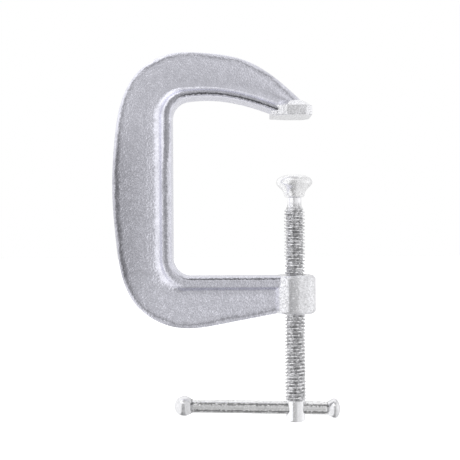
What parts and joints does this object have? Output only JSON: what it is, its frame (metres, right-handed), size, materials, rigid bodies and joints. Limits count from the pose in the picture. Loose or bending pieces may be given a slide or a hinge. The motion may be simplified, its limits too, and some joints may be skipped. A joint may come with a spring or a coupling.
{
  "type": "c clamp",
  "caption": "Forged steel G clamp with a T-section frame, tapped boss, trapezoidal screw, swivel pad on a ball, and a sliding tommy bar with a knob at each end",
  "frame": {"origin": "the middle of the anvil's flat face, on the screw's axis", "axes": "+Z points along the screw from the tommy bar up to the anvil, -X points from the screw to the frame's spine, and Y is the clamp's thickness, which it is symmetrical about except for the thread's helix"},
  "size_m": [0.1311, 0.024, 0.2135],
  "materials": {
    "forged_zinc": "die-forged steel with bright zinc plating over a shot-blasted grain",
    "rolled_thread": "rolled thread, zinc plated, darker in the roots",
    "turned_pad": "turned and crimped steel, zinc plated, smooth",
    "bright_bar": "drawn bright steel bar, zinc plated, fine lengthwise streaks",
    "knob_steel": "smooth bright steel, zinc plated"
  },
  "bodies": {
    "frame": {"frame": "forged_zinc"},
    "pad": {"swivel_pad": "turned_pad"},
    "screw": {"screw": "rolled_thread"},
    "tommy_bar": {"tommy_bar": "bright_bar", "bar_knob_left": "knob_steel", "bar_knob_right": "knob_steel"}
  },
  "joints": [
    {"name": "screw_travel", "type": "slide", "parent": "frame", "child": "pad", "axis": [0, 0, 1], "range_m": [-0.0446, 0.0332]},
    {"name": "screw_turn", "type": "hinge", "parent": "pad", "child": "screw", "pos_m": [0, 0, -0.1], "axis": [0, 0, 1], "range_deg": [-8026, 5974]},
    {"name": "bar_slide", "type": "slide", "parent": "screw", "child": "tommy_bar", "axis": [0.9998, 0, -0.0209], "range_m": [-0.0128, 0.0538]}
  ],
  "couplings": [
    {"joint": "screw_travel", "follows": "screw_turn", "m_per_rad": 0.00031831}
  ]
}
